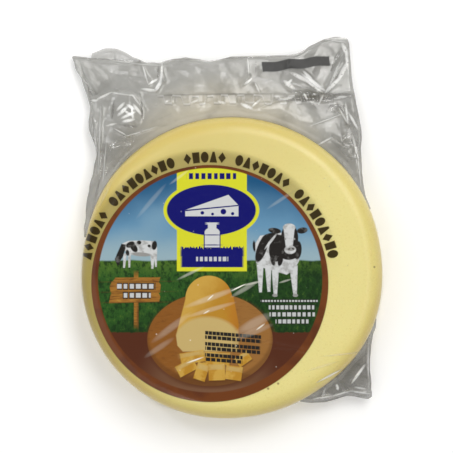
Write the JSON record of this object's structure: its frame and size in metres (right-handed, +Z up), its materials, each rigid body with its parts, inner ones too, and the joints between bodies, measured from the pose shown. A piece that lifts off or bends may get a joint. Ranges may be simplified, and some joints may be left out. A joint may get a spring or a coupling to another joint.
{
  "type": "provolone cheese slice in a clear bag",
  "caption": "Thick round slice of smoked provolone sealed in a clear, crumpled film bag with a round picture print, a wide loose top and one loose corner.",
  "frame": {"origin": "centre of the round slice, on the flat underside of the bag", "axes": "+Z up out of the printed front web, +Y towards the bag's open top edge, +X to the right of the print"},
  "size_m": [0.1576, 0.1934, 0.0316],
  "materials": {
    "cheese": "smooth pale yellow cheese with a golden smoked rim, a little moist",
    "film": "clear shrunk film, glossy and creased"
  },
  "bodies": {
    "root": {"cheese": "cheese", "bag": "film"}
  },
  "joints": []
}
